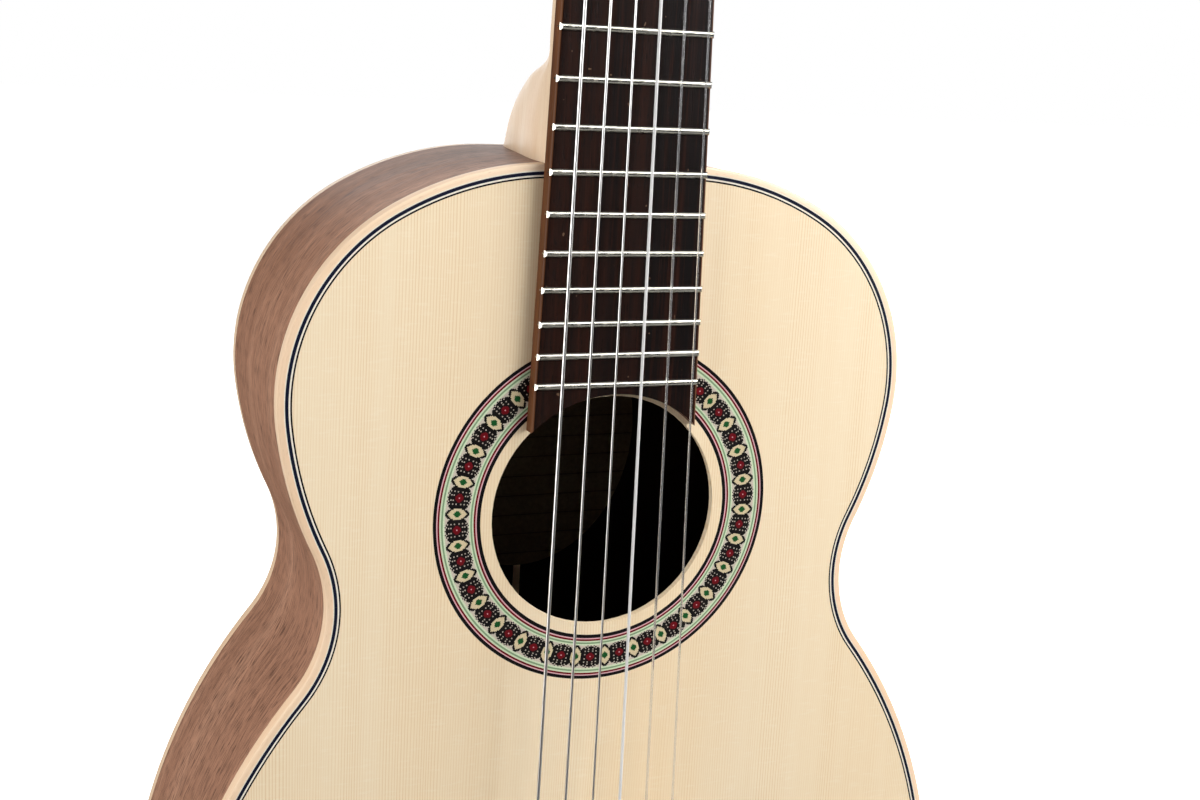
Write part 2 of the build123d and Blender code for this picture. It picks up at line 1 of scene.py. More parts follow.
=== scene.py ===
import bmesh
import bpy
from math import cos, hypot, pi, radians, sin, sqrt
from mathutils import Matrix, Vector


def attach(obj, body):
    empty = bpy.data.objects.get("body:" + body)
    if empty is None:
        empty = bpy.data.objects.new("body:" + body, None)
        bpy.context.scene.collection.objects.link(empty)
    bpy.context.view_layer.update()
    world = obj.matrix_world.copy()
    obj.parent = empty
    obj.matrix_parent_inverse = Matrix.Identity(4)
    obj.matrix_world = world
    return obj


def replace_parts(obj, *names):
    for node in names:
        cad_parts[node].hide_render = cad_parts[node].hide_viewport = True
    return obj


# Looks of a quarter-size classical guitar. Metres throughout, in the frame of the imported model:
# +Z runs up the neck, the face looks towards -Y, and the face lies in the plane y = 0.

# Body outline, as in the CAD: half of the flat stretch, then (radius, sweep) down the treble side
BODY_TOP = -0.2376
FLAT_HALF = 0.0227
ARCS = [(0.1089, 29.4), (0.0724, 67.5), (0.1386, 18.0), (-0.0463, 63.5), (0.2040, 27.2), (0.0798, 75.2)]
ARC_STEP = 1.5
RIB = 0.0022
BINDING_HEIGHT = 0.005
BACK_RADIUS = 4.0
DEPTH_AT_NECK = 0.082
BACK_CREST_Z = -0.4995
BACK_CENTRE_Y = DEPTH_AT_NECK - sqrt(BACK_RADIUS ** 2 - (BODY_TOP - BACK_CREST_Z) ** 2)
GRAFT_HALF = 0.004
EDGE_ROUND = 0.0006

# Steps of the repeating textures: the years of the spruce, the turns of the wound wire, the label's lines
GRAIN_PITCH = 0.00098
WIRE_PITCH = 0.00022
RULED_PITCH = 0.008

# Purfling beside the binding: inset of each strip's outer edge and its colour
PURFLING = [("white", 0.0022), ("navy", 0.0025), ("white", 0.0036), ("black", 0.00415)]
PURFLING_END = 0.0047
INLAY_DEPTH = 0.0015

# Rosette: outer radius of each line and its colour, then the mosaic between the two sets
HOLE = Vector((0.0, 0.0, -0.35635))
OUTER_LINES = [("black", 0.06140), ("pink", 0.06022), ("red", 0.05983), ("pale_green", 0.05918),
               ("green_grey", 0.05860), ("pale_green", 0.05800)]
MOSAIC_OUTER = 0.05736
MOSAIC_INNER = 0.04895
INNER_LINES = [("pale_green", 0.04895), ("green_grey", 0.04845), ("pale_green", 0.04785),
               ("red", 0.04735), ("pink", 0.04668), ("black", 0.04625)]
ROSETTE_INNER = 0.0450
MOTIFS = 30
FIRST_MOTIF = 3.3

# A quarter of one motif, in small square pieces of wood. The rows go from the middle of the band to its
# edge, and the columns from the middle of a flower to the middle of the lozenge beside it.
MOTIF = [
    "PRRRKKKKKCCGGG",
    "RRRRKKKKKCCGGG",
    "RRRKKWKKKCCCGG",
    "RRKKKKKKKCCCCG",
    "KKKKKKKKKKCCCC",
    "KKWKKWKKKKCCCC",
    "KKKKKKKKKKKCCC",
    "KKWKKKKKKWKKCC",
    "KKKKKWKKWWKKKC",
    "KKKWKKWWWWWKKK",
    "KWWKWWWWWWWWKK",
]
TESSERAE = {"P": "pink", "R": "red", "K": "black", "W": "cream_white", "G": "leaf_green", "C": "cream"}

# Display colours of the inlays
INLAY_COLOURS = {
    "white": (244, 236, 220),
    "navy": (16, 20, 42),
    "black": (12, 8, 10),
    "pink": (232, 182, 188),
    "red": (112, 10, 22),
    "cream": (220, 203, 164),
    "green_grey": (132, 164, 122),
    "pale_green": (214, 226, 194),
    "cream_white": (210, 199, 182),
    "leaf_green": (20, 82, 36),
}

# String ends at the bridge: gap between strings, shift of the whole set, shift of each loop beside its
# string, then the loop's path over the tie block as (depth, height)
STRING_GAP_SADDLE = 0.01045
MIDDLE_OF_STRINGS = 3.5
STRING_SHIFT = 0.00070
TIE_SHIFT = 0.0011
TIE_PATH = [(-0.0056, -0.5016), (-0.0070, -0.5022), (-0.0090, -0.5016), (-0.0102, -0.5002),
            (-0.0104, -0.4985), (-0.0104, -0.4905), (-0.0102, -0.4886), (-0.0092, -0.4877),
            (-0.0078, -0.4874), (-0.0066, -0.4877)]
TIE_RADII = {6: 0.00052, 5: 0.00045, 4: 0.00040, 3: 0.00050, 2: 0.00042, 1: 0.00037}

# Camera: angles in degrees, lens and sensor in millimetres
CAMERA_PLACE = (-0.203221, -0.476514, -0.198385)
CAMERA_AZIMUTH = -22.6766
CAMERA_ELEVATION = 12.8978
CAMERA_ROLL = 3.1681
CAMERA_LENS = 46.992
SENSOR = 36.0
NEAR_CLIP = 0.01

FLOOR_Z = -0.615
FLOOR_HALF = 9.0

# Light: the grey level of the surroundings, and softboxes as (name, azimuth and elevation in degrees,
# distance, width, height, power). Azimuth 0 is straight in front of the face, and 90 is the treble side.
AMBIENT = 0.04
BODY_MIDDLE = Vector((0.0, 0.02, -0.36))
SOFTBOXES = [
    ("key", 56.0, 30.0, 1.30, 1.00, 1.10, 26.5),
    ("high", 32.0, 56.0, 1.30, 0.80, 0.50, 5.5),
    ("left", -80.0, 6.0, 1.30, 0.90, 1.10, 18.0),
    ("low", 38.0, -42.0, 1.30, 1.00, 0.50, 1.2),
    ("rear", 165.0, 15.0, 1.60, 1.20, 1.20, 8.0),
]


def linear(colour):
    """Linear colour of a display colour given as 0 to 255."""
    channels = []
    for value in colour:
        share = value / 255
        channels.append(share / 12.92 if share <= 0.04045 else ((share + 0.055) / 1.055) ** 2.4)
    return (*channels, 1.0)


# Materials

class Finish:
    """A node material under construction, with short names for the nodes it uses."""

    def __init__(self, name, roughness=0.5, metallic=0.0):
        self.material = bpy.data.materials.new(name)
        self.material.use_nodes = True
        self.tree = self.material.node_tree
        self.shader = self.tree.nodes["Principled BSDF"]
        self.shader.inputs["Roughness"].default_value = roughness
        self.shader.inputs["Metallic"].default_value = metallic

    def node(self, kind, inputs=(), **settings):
        made = self.tree.nodes.new(kind)
        for key, value in settings.items():
            setattr(made, key, value)
        for key, value in dict(inputs).items():
            self.feed(made.inputs[key], value)
        return made

    def feed(self, socket, value):
        if isinstance(value, bpy.types.NodeSocket):
            self.tree.links.new(value, socket)
        else:
            socket.default_value = value

    def place(self):
        """Place in the row frame, in metres."""
        return self.node("ShaderNodeTexCoord").outputs["Object"]

    def stretched(self, vector, scale, turn=(0.0, 0.0, 0.0)):
        made = self.node("ShaderNodeMapping", {"Vector": vector, "Rotation": turn, "Scale": scale})
        return made.outputs["Vector"]

    def noise(self, vector, scale=1.0, detail=2.0, roughness=0.5, distortion=0.0):
        inputs = {"Vector": vector, "Scale": scale, "Detail": detail, "Roughness": roughness,
                  "Distortion": distortion}
        return self.node("ShaderNodeTexNoise", inputs).outputs["Fac"]

    def ramp(self, fac, stops):
        made = self.node("ShaderNodeValToRGB", {"Fac": fac})
        elements = made.color_ramp.elements
        while len(elements) < len(stops):
            elements.new(0.5)
        for element, (position, colour) in zip(elements, stops):
            element.position = position
            element.color = colour
        return made.outputs["Color"]

    def level(self, fac, low, high, to_low=0.0, to_high=1.0):
        inputs = {"Value": fac, "From Min": low, "From Max": high, "To Min": to_low, "To Max": to_high}
        return self.node("ShaderNodeMapRange", inputs).outputs["Result"]

    def math(self, operation, a, b=0.0):
        made = self.node("ShaderNodeMath", operation=operation)
        self.feed(made.inputs[0], a)
        self.feed(made.inputs[1], b)
        return made.outputs["Value"]

    def mix(self, fac, a, b, blend="MIX"):
        made = self.node("ShaderNodeMix", data_type="RGBA", blend_type=blend)
        self.feed(made.inputs["Factor"], fac)
        self.feed(made.inputs["A"], a)
        self.feed(made.inputs["B"], b)
        return made.outputs["Result"]

    def split(self, vector):
        return self.node("ShaderNodeSeparateXYZ", {"Vector": vector}).outputs

    def join(self, x, y, z):
        return self.node("ShaderNodeCombineXYZ", {"X": x, "Y": y, "Z": z}).outputs["Vector"]

    def colour(self, value):
        self.feed(self.shader.inputs["Base Color"], value)

    def roughness(self, value):
        self.feed(self.shader.inputs["Roughness"], value)

    def bump(self, height, strength, distance):
        inputs = {"Height": height, "Strength": strength, "Distance": distance}
        self.feed(self.shader.inputs["Normal"], self.node("ShaderNodeBump", inputs).outputs["Normal"])

    def set(self, **values):
        for key, value in values.items():
            self.shader.inputs[key.replace("_", " ")].default_value = value
        return self


def along_grain(finish, source):
    """(along, across, depth) in metres: from the map of a curved strip, or from the row frame."""
    if source == "strip":
        return finish.node("ShaderNodeUVMap", uv_map="grain").outputs["UV"]
    x, y, z = finish.split(finish.place())
    if source == "upright":
        return finish.join(z, x, y)
    return finish.join(x, z, y)


def facing(finish, side):
    """1 where the surface looks towards +Y (side 1) or -Y (side -1), or 0 elsewhere."""
    normal = finish.split(finish.node("ShaderNodeNewGeometry").outputs["Normal"])
    return finish.math("GREATER_THAN", finish.math("MULTIPLY", normal["Y"], side), 0.5)


def spruce():
    """Pale spruce: straight upright grain of uneven spacing, with faint silk across it; its inner face is
    painted dark as the shade inside the body.
    """
    finish = Finish("spruce", roughness=0.42)
    grain = along_grain(finish, "upright")
    x, y, z = finish.split(grain)
    sway = finish.noise(finish.stretched(grain, (5.0, 9.0, 0.0)), detail=1.0)
    across = finish.math("ADD", y, finish.level(sway, 0.3, 0.7, -0.0012, 0.0012))
    straight = finish.join(finish.math("MULTIPLY", x, 1.2), across, 0.0)
    drift = finish.noise(finish.stretched(straight, (0.6, 70.0, 0.0)), detail=2.0)
    phase = finish.math("ADD", finish.math("MULTIPLY", across, 2 * pi / GRAIN_PITCH),
                        finish.math("MULTIPLY", drift, 26.0))
    year = finish.math("SINE", phase)
    wide = finish.noise(finish.stretched(straight, (1.0, 95.0, 0.0)), detail=2.0)
    broad = finish.noise(finish.stretched(straight, (1.5, 22.0, 0.0)), detail=1.0)
    fibre = finish.noise(finish.stretched(straight, (60.0, 3800.0, 0.0)), detail=2.0)
    silk = finish.noise(finish.stretched(grain, (900.0, 130.0, 0.0)), detail=2.0)
    early = linear((247, 228, 196))
    late = linear((226, 190, 138))
    strength = finish.level(wide, 0.34, 0.62, 0.15, 0.62)
    lines = finish.math("MULTIPLY", finish.level(year, 0.1, 1.0), strength)
    base = finish.mix(finish.level(broad, 0.35, 0.7), early, linear((243, 219, 182)))
    base = finish.mix(lines, base, late)
    base = finish.mix(finish.level(fibre, 0.4, 0.75, 0.0, 0.16), base, late)
    base = finish.mix(finish.level(silk, 0.56, 0.7, 0.0, 0.14), base, linear((255, 246, 226)))
    # Painted shade: the inner face, which looks into the body, is painted dark brown for the shade inside
    # it.
    finish.colour(finish.mix(facing(finish, 1.0), base, linear((96, 76, 54))))
    finish.roughness(finish.level(lines, 0.0, 1.0, 0.44, 0.34))
    finish.bump(finish.math("SUBTRACT", 1.0, lines), 0.12, 0.0001)
    finish.set(Coat_Weight=0.12, Coat_Roughness=0.28)
    return finish.material


def walnut(source):
    """Brown walnut with streaks and short open pores that run along the grain; the back's inner face is
    painted near-black as shade.
    """
    finish = Finish(f"walnut_{source}", roughness=0.45)
    grain = along_grain(finish, source)
    sway = finish.noise(finish.stretched(grain, (7.0, 30.0, 30.0)), detail=2.0)
    x, y, z = finish.split(grain)
    across = finish.math("ADD", y, finish.level(sway, 0.3, 0.7, -0.004, 0.004))
    flow = finish.join(x, across, z)
    broad = finish.noise(finish.stretched(flow, (3.0, 55.0, 20.0)), detail=3.0)
    streak = finish.noise(finish.stretched(flow, (9.0, 420.0, 260.0)), detail=4.0, roughness=0.65)
    pores = finish.noise(finish.stretched(flow, (190.0, 2400.0, 1200.0)), detail=1.0)
    dashes = finish.noise(finish.stretched(flow, (90.0, 1500.0, 900.0)), detail=1.0)
    base = finish.ramp(broad, [(0.30, linear((156, 112, 88))), (0.50, linear((176, 129, 103))),
                               (0.70, linear((192, 145, 118)))])
    base = finish.mix(finish.level(streak, 0.35, 0.72, 0.0, 0.45), base, linear((110, 78, 62)))
    base = finish.mix(finish.level(dashes, 0.54, 0.66, 0.0, 0.50), base, linear((74, 50, 40)))
    base = finish.mix(finish.level(pores, 0.54, 0.64, 0.0, 0.62), base, linear((62, 42, 34)))
    # Painted shade: on the back plate the inner face, which looks into the body, is painted near-black for
    # the shade inside it.
    if source == "upright":
        base = finish.mix(facing(finish, -1.0), base, linear((30, 21, 16)))
    finish.colour(base)
    finish.roughness(finish.level(streak, 0.3, 0.7, 0.56, 0.44))
    finish.bump(finish.math("SUBTRACT", 1.0, finish.level(pores, 0.58, 0.74)), 0.25, 0.0001)
    finish.set(Specular_IOR_Level=0.3)
    return finish.material


def maple(source, name, pale, warm):
    """Pale close-grained wood with faint fine lines and a little figure."""
    finish = Finish(name, roughness=0.4)
    grain = along_grain(finish, source)
    broad = finish.noise(finish.stretched(grain, (6.0, 60.0, 60.0)), detail=2.0)
    streak = finish.noise(finish.stretched(grain, (12.0, 900.0, 900.0)), detail=3.0)
    flecks = finish.noise(finish.stretched(grain, (420.0, 2400.0, 2400.0)), detail=1.0)
    figure = finish.noise(finish.stretched(grain, (160.0, 25.0, 25.0)), detail=1.0)
    base = finish.mix(finish.level(broad, 0.3, 0.7), linear(pale), linear(warm))
    base = finish.mix(finish.level(streak, 0.42, 0.75, 0.0, 0.30), base, linear((214, 172, 126)))
    base = finish.mix(finish.level(flecks, 0.62, 0.74, 0.0, 0.22), base, linear((180, 132, 92)))
    base = finish.mix(finish.level(figure, 0.45, 0.75, 0.0, 0.10), base, linear((255, 240, 216)))
    finish.colour(base)
    finish.bump(streak, 0.06, 0.0001)
    finish.set(Coat_Weight=0.12, Coat_Roughness=0.25)
    return finish.material


def rosewood(source, name, lit_side_colour=(112, 70, 42)):
    """Near-black rosewood with brown and reddish streaks; its sides are painted lighter and browner than
    its top, as the light that falls on the sides.
    """
    finish = Finish(name, roughness=0.5)
    grain = along_grain(finish, source)
    broad = finish.noise(finish.stretched(grain, (4.0, 130.0, 60.0)), detail=3.0)
    streak = finish.noise(finish.stretched(grain, (14.0, 750.0, 500.0)), detail=4.0, roughness=0.7)
    pores = finish.noise(finish.stretched(grain, (260.0, 3200.0, 900.0)), detail=1.0)
    specks = finish.noise(finish.stretched(grain, (500.0, 700.0, 500.0)), detail=0.0)
    base = finish.ramp(broad, [(0.30, linear((10, 8, 8))), (0.47, linear((21, 12, 10))),
                               (0.60, linear((38, 19, 13))), (0.72, linear((14, 11, 11)))])
    base = finish.mix(finish.level(streak, 0.50, 0.74, 0.0, 0.55), base, linear((60, 30, 20)))
    base = finish.mix(finish.level(streak, 0.30, 0.44, 0.7, 0.0), base, linear((8, 6, 7)))
    base = finish.mix(finish.level(pores, 0.60, 0.70, 0.0, 0.8), base, linear((10, 8, 8)))
    base = finish.mix(finish.level(specks, 0.86, 0.88, 0.0, 0.4), base, linear((150, 120, 96)))
    # Painted light: faces that look sideways get a lighter, browner colour, standing in for the light on
    # the sides.
    normal = finish.split(finish.node("ShaderNodeNewGeometry").outputs["Normal"])
    lit_sides = finish.level(finish.math("ABSOLUTE", normal["X"]), 0.3, 0.5)
    side = finish.mix(finish.level(streak, 0.35, 0.7), linear(lit_side_colour), linear((74, 44, 27)))
    base = finish.mix(lit_sides, base, side)
    finish.colour(base)
    finish.roughness(finish.level(streak, 0.3, 0.7, 0.46, 0.32))
    finish.set(Specular_IOR_Level=0.12)
    finish.bump(finish.math("SUBTRACT", 1.0, finish.level(pores, 0.58, 0.72)), 0.35, 0.0001)
    return finish.material


def inner_wood():
    """Raw wood of the blocks, linings and braces."""
    finish = Finish("inner_wood", roughness=0.7)
    grain = along_grain(finish, "across")
    streak = finish.noise(finish.stretched(grain, (8.0, 500.0, 500.0)), detail=3.0)
    pale, dark = linear((128, 106, 78)), linear((104, 82, 56))
    finish.colour(finish.mix(finish.level(streak, 0.3, 0.7), pale, dark))
    finish.bump(streak, 0.2, 0.0002)
    return finish.material


def inlay(name):
    """Dyed wood line with fine fibres."""
    finish = Finish(f"inlay_{name}", roughness=0.38)
    fibre = finish.noise(finish.place(), scale=2600.0, detail=2.0)
    colour = linear(INLAY_COLOURS[name])
    shade = tuple(0.72 * channel for channel in colour[:3]) + (1.0,)
    finish.colour(finish.mix(finish.level(fibre, 0.35, 0.7, 0.0, 0.7), colour, shade))
    finish.bump(fibre, 0.05, 0.00005)
    finish.set(Specular_IOR_Level=0.2)
    return finish.material


def metal(name, colour, roughness, brushed=(900.0, 900.0, 60.0)):
    """Polished metal with fine marks left by the tool that finished it."""
    finish = Finish(name, roughness=roughness, metallic=1.0)
    marks = finish.noise(finish.stretched(finish.place(), brushed), detail=3.0)
    cloud = finish.noise(finish.place(), scale=160.0, detail=2.0)
    base = linear(colour)
    worn = tuple(0.80 * channel for channel in base[:3]) + (1.0,)
    finish.colour(finish.mix(finish.level(cloud, 0.4, 0.75, 0.0, 0.6), base, worn))
    finish.roughness(finish.level(marks, 0.3, 0.7, 0.75 * roughness, 1.35 * roughness))
    finish.bump(marks, 0.08, 0.00005)
    return finish.material


def wound_string():
    """Silvered wire wound round the core: fine rings along the string, with painted shade in the grooves
    between the turns.
    """
    finish = Finish("wound_string", roughness=0.3, metallic=1.0)
    x, y, z = finish.split(finish.place())
    slope = finish.math("ADD", z, finish.math("MULTIPLY", x, 0.12))
    turn = finish.math("SINE", finish.math("MULTIPLY", slope, 2 * pi / WIRE_PITCH))
    # Painted shade: the grooves between the turns are painted darker than the crests.
    groove_shade, crest = linear((208, 206, 204)), linear((246, 245, 244))
    finish.colour(finish.mix(finish.level(turn, -1.0, 1.0), groove_shade, crest))
    finish.bump(turn, 0.08, 0.00004)
    return finish.material


def nylon(name, transmission, colour):
    """Smooth nylon, clear or milky."""
    finish = Finish(name, roughness=0.16)
    cloud = finish.noise(finish.place(), scale=90.0, detail=2.0)
    shade = tuple(0.93 * channel for channel in linear(colour)[:3]) + (1.0,)
    finish.colour(finish.mix(finish.level(cloud, 0.3, 0.7), linear(colour), shade))
    finish.roughness(finish.level(cloud, 0.3, 0.7, 0.13, 0.22))
    return finish.set(Transmission_Weight=transmission, IOR=1.53).material


def bone():
    """Polished bone with faint clouds."""
    finish = Finish("bone", roughness=0.32)
    cloud = finish.noise(finish.stretched(finish.place(), (260.0, 600.0, 900.0)), detail=4.0)
    pale, warm = linear((244, 238, 222)), linear((226, 214, 190))
    finish.colour(finish.mix(finish.level(cloud, 0.35, 0.7), pale, warm))
    finish.bump(cloud, 0.06, 0.0001)
    return finish.set(Subsurface_Weight=0.12, Subsurface_Scale=0.002).material


def pearl():
    """Marbled pearl plastic of the buttons."""
    finish = Finish("button_pearl", roughness=0.2)
    swirl = finish.noise(finish.place(), scale=140.0, detail=4.0, distortion=1.8)
    fine = finish.noise(finish.place(), scale=420.0, detail=2.0, distortion=1.0)
    base = finish.ramp(swirl, [(0.35, linear((206, 198, 184))), (0.5, linear((238, 232, 220))),
                               (0.62, linear((252, 249, 243)))])
    finish.colour(finish.mix(finish.level(fine, 0.55, 0.75, 0.0, 0.3), base, linear((214, 204, 206))))
    return finish.set(Coat_Weight=0.5, Coat_Roughness=0.08).material


def roller_white():
    """White plastic of the string rollers."""
    finish = Finish("roller_white", roughness=0.35)
    cloud = finish.noise(finish.place(), scale=320.0, detail=3.0)
    pale, warm = linear((236, 232, 222)), linear((214, 208, 194))
    finish.colour(finish.mix(finish.level(cloud, 0.35, 0.7), pale, warm))
    finish.bump(cloud, 0.05, 0.0001)
    return finish.material


def label_paper():
    """Aged paper with plain ruled lines, painted much darker as the shade inside the body."""
    finish = Finish("label_paper", roughness=0.85)
    x, y, z = finish.split(finish.place())
    fibre = finish.noise(finish.place(), scale=900.0, detail=4.0)
    # Painted shade: the paper colours are far darker than the paper is, for the shade inside the body.
    base = finish.mix(finish.level(fibre, 0.3, 0.7), linear((132, 116, 90)), linear((114, 99, 74)))
    row = finish.math("FRACT", finish.math("MULTIPLY", z, 1 / RULED_PITCH))
    ruled = finish.math("LESS_THAN", row, 0.06)
    finish.colour(finish.mix(finish.math("MULTIPLY", ruled, 0.55), base, linear((54, 40, 28))))
    finish.bump(fibre, 0.1, 0.0001)
    return finish.material


def floor_white():
    """White floor that also shines a little, so that it stays white."""
    finish = Finish("floor_white", roughness=0.9)
    cloud = finish.noise(finish.place(), scale=3.0, detail=2.0)
    finish.colour(finish.mix(cloud, (0.88, 0.88, 0.88, 1.0), (0.92, 0.92, 0.92, 1.0)))
    return finish.set(Emission_Color=(1.0, 1.0, 1.0, 1.0), Emission_Strength=1.1).material


# Shapes

def mesh_piece(name, points, faces, materials, body, smooth=True):
    """New piece from points and faces, riding on a body."""
    mesh = bpy.data.meshes.new(name)
    mesh.from_pydata([tuple(p) for p in points], [], faces)
    mesh.validate()
    for material in materials:
        mesh.materials.append(material)
    if smooth:
        mesh.shade_smooth()
    else:
        mesh.shade_flat()
    piece = bpy.data.objects.new(name, mesh)
    bpy.context.scene.collection.objects.link(piece)
    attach(piece, body)
    return piece


def soften(piece, angle=35.0):
    """Smooth shading with creases where faces meet at more than the angle."""
    piece.data.set_sharp_from_angle(angle=radians(angle))
    return piece


def outline_points(inset):
    """Points and headings round the body's outline, clockwise from the middle of the top."""
    x, z, heading = FLAT_HALF, BODY_TOP - inset, 0.0
    side = [(0.0, z), (0.5 * x, z), (x, z)]
    for radius, sweep in ARCS:
        r = radius - inset
        turn = -radians(sweep) if radius > 0 else radians(sweep)
        cx, cz = x + sin(heading) * r, z - cos(heading) * r
        steps = max(2, round(sweep / ARC_STEP))
        for step in range(1, steps + 1):
            a = heading + turn * step / steps
            side.append((cx - sin(a) * r, cz + cos(a) * r))
        heading += turn
        x, z = side[-1]
    # The last arc closes the outline, with its centre on the middle line
    closing = -x / sin(heading)
    centre = z - cos(heading) * closing
    rest = -pi - heading
    steps = max(2, round(abs(rest) * 180 / pi / ARC_STEP))
    for step in range(1, steps + 1):
        a = heading + rest * step / steps
        side.append((-sin(a) * closing, centre + cos(a) * closing))
    side[-1] = (0.0, centre - closing)
    return side + [(-px, pz) for px, pz in reversed(side[1:-1])]


def back_y(x, z, inset):
    """Depth of the domed back, or of a surface inside it."""
    return BACK_CENTRE_Y + sqrt((BACK_RADIUS - inset) ** 2 - x ** 2 - (z - BACK_CREST_Z) ** 2)


def under_back(inset):
    """Depth of the back's surface, or of one inside it, as a function of the place."""
    return lambda x, z: back_y(x, z, inset)


def depth_at(depth, x, z):
    """Depth of a strip's corner, which is a number or a function of the place."""
    return depth(x, z) if callable(depth) else depth


def strip(name, section, material, span=None):
    """Strip that follows the outline. The section is a closed list of (inset, depth), where a depth
    is a number or a function of (x, z). The span picks part of the outline by index."""
    loops = [outline_points(inset) for inset, _ in section]
    count = len(loops[0])
    indices = list(range(count)) if span is None else span
    points, lengths = [], [0.0]
    for index in indices:
        for loop, (_, depth) in zip(loops, section):
            x, z = loop[index]
            points.append((x, depth_at(depth, x, z), z))
    outer = [loops[0][index] for index in indices]
    for (ax, az), (bx, bz) in zip(outer, outer[1:] + outer[:1]):
        lengths.append(lengths[-1] + hypot(bx - ax, bz - az))
    corners, stations = len(section), len(indices)
    runs = stations if span is None else stations - 1
    around = [0.0]
    for k in range(corners):
        (inset, depth), (other_inset, other_depth) = section[k], section[(k + 1) % corners]
        rise = depth_at(other_depth, *outer[0]) - depth_at(depth, *outer[0])
        around.append(around[-1] + hypot(other_inset - inset, rise))
    faces, places = [], []
    for i in range(runs):
        here, there = i * corners, (i + 1) % stations * corners
        for k in range(corners):
            after = (k + 1) % corners
            faces.append((here + k, here + after, there + after, there + k))
            places += [(lengths[i], around[k]), (lengths[i], around[k + 1]),
                       (lengths[i + 1], around[k + 1]), (lengths[i + 1], around[k])]
    if span is not None:
        last = stations - 1
        faces.append(tuple(range(corners))[::-1])
        faces.append(tuple(last * corners + k for k in range(corners)))
        places += [(0.0, around[k]) for k in reversed(range(corners))]
        places += [(lengths[last], around[k]) for k in range(corners)]
    piece = mesh_piece(name, points, faces, [material], "guitar")
    layer = piece.data.uv_layers.new(name="grain")
    for loop, place in zip(layer.data, places):
        loop.uv = place
    tidy_normals(piece)
    return soften(piece)


def tidy_normals(piece):
    """Turn every face of a closed piece outwards."""
    work = bmesh.new()
    work.from_mesh(piece.data)
    bmesh.ops.recalc_face_normals(work, faces=work.faces)
    work.to_mesh(piece.data)
    work.free()


def annulus(name, outer, inner, material, steps=240):
    """Flat ring let into the face round the soundhole."""
    points, faces = [], []
    for step in range(steps):
        a = 2 * pi * step / steps
        for r, y in ((outer, 0.0), (inner, 0.0), (inner, INLAY_DEPTH), (outer, INLAY_DEPTH)):
            points.append((HOLE.x + r * cos(a), y, HOLE.z + r * sin(a)))
    for step in range(steps):
        other = (step + 1) % steps
        for k in range(4):
            after = (k + 1) % 4
            faces.append((4 * step + k, 4 * step + after, 4 * other + after, 4 * other + k))
    piece = mesh_piece(name, points, faces, [material], "guitar")
    tidy_normals(piece)
    return soften(piece)


def mosaic(colours):
    """Band of small square pieces that repeat one motif, with a plain underside."""
    rows = 2 * len(MOTIF) - 1
    columns = 2 * (len(MOTIF[0]) - 1)
    steps = MOTIFS * columns
    names = sorted(set(TESSERAE.values()))
    points, faces, picks = [], [], []
    for ring in range(rows + 1):
        r = MOSAIC_INNER + (MOSAIC_OUTER - MOSAIC_INNER) * ring / rows
        for step in range(steps):
            a = radians(FIRST_MOTIF) + 2 * pi * (step - 0.5) / steps
            points.append((HOLE.x + r * cos(a), 0.0, HOLE.z + r * sin(a)))
    for r in (MOSAIC_INNER, MOSAIC_OUTER):
        for step in range(steps):
            a = radians(FIRST_MOTIF) + 2 * pi * (step - 0.5) / steps
            points.append((HOLE.x + r * cos(a), INLAY_DEPTH, HOLE.z + r * sin(a)))
    middle = len(MOTIF) - 1
    for ring in range(rows):
        for step in range(steps):
            other = (step + 1) % steps
            faces.append((ring * steps + step, ring * steps + other,
                          (ring + 1) * steps + other, (ring + 1) * steps + step))
            column = step % columns
            letter = MOTIF[abs(ring - middle)][min(column, columns - column)]
            picks.append(names.index(TESSERAE[letter]))
    low, high = (rows + 1) * steps, (rows + 2) * steps
    for first, second in ((0, low), (low, high), (high, rows * steps)):
        for step in range(steps):
            other = (step + 1) % steps
            faces.append((first + step, first + other, second + other, second + step))
            picks.append(names.index("cream"))
    piece = mesh_piece("rosette_mosaic", points, faces, [colours[name] for name in names],
                       "guitar", smooth=False)
    for face, pick in zip(piece.data.polygons, picks):
        face.material_index = pick
    tidy_normals(piece)
    return piece


def rosette(colours):
    """Lines outside the mosaic, lines inside it, and the mosaic."""
    for side, lines, end in (("outer", OUTER_LINES, MOSAIC_OUTER), ("inner", INNER_LINES, ROSETTE_INNER)):
        ends = [radius for _, radius in lines[1:]] + [end]
        for number, ((colour, radius), inner) in enumerate(zip(lines, ends)):
            annulus(f"rosette_line_{side}_{number + 1}", radius, inner, colours[colour])
    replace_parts(mosaic(colours), "rosette")


def purfling(colours):
    """Thin lines that run beside the top binding."""
    ends = [inset for _, inset in PURFLING[1:]] + [PURFLING_END]
    for number, ((colour, start), end) in enumerate(zip(PURFLING, ends)):
        section = [(start, 0.0), (end, 0.0), (end, INLAY_DEPTH), (start, INLAY_DEPTH)]
        piece = strip(f"purfling_line_{number + 1}", section, colours[colour])
    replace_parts(piece, "top_purfling")


def bindings(material):
    """Pale edge strips of the face and of the back, with their outer corner rounded."""
    soft = EDGE_ROUND
    part = soft * (1 - sqrt(0.5))
    top = [(0.0, soft), (part, part), (soft, 0.0), (RIB, 0.0), (RIB, BINDING_HEIGHT), (0.0, BINDING_HEIGHT)]
    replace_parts(strip("binding_top", top, material), "top_binding")
    back = [(0.0, under_back(BINDING_HEIGHT)), (RIB, under_back(BINDING_HEIGHT)), (RIB, under_back(0.0)),
            (soft, under_back(0.0)), (part, under_back(part)), (0.0, under_back(soft))]
    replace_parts(strip("binding_back", back, material), "back_binding")


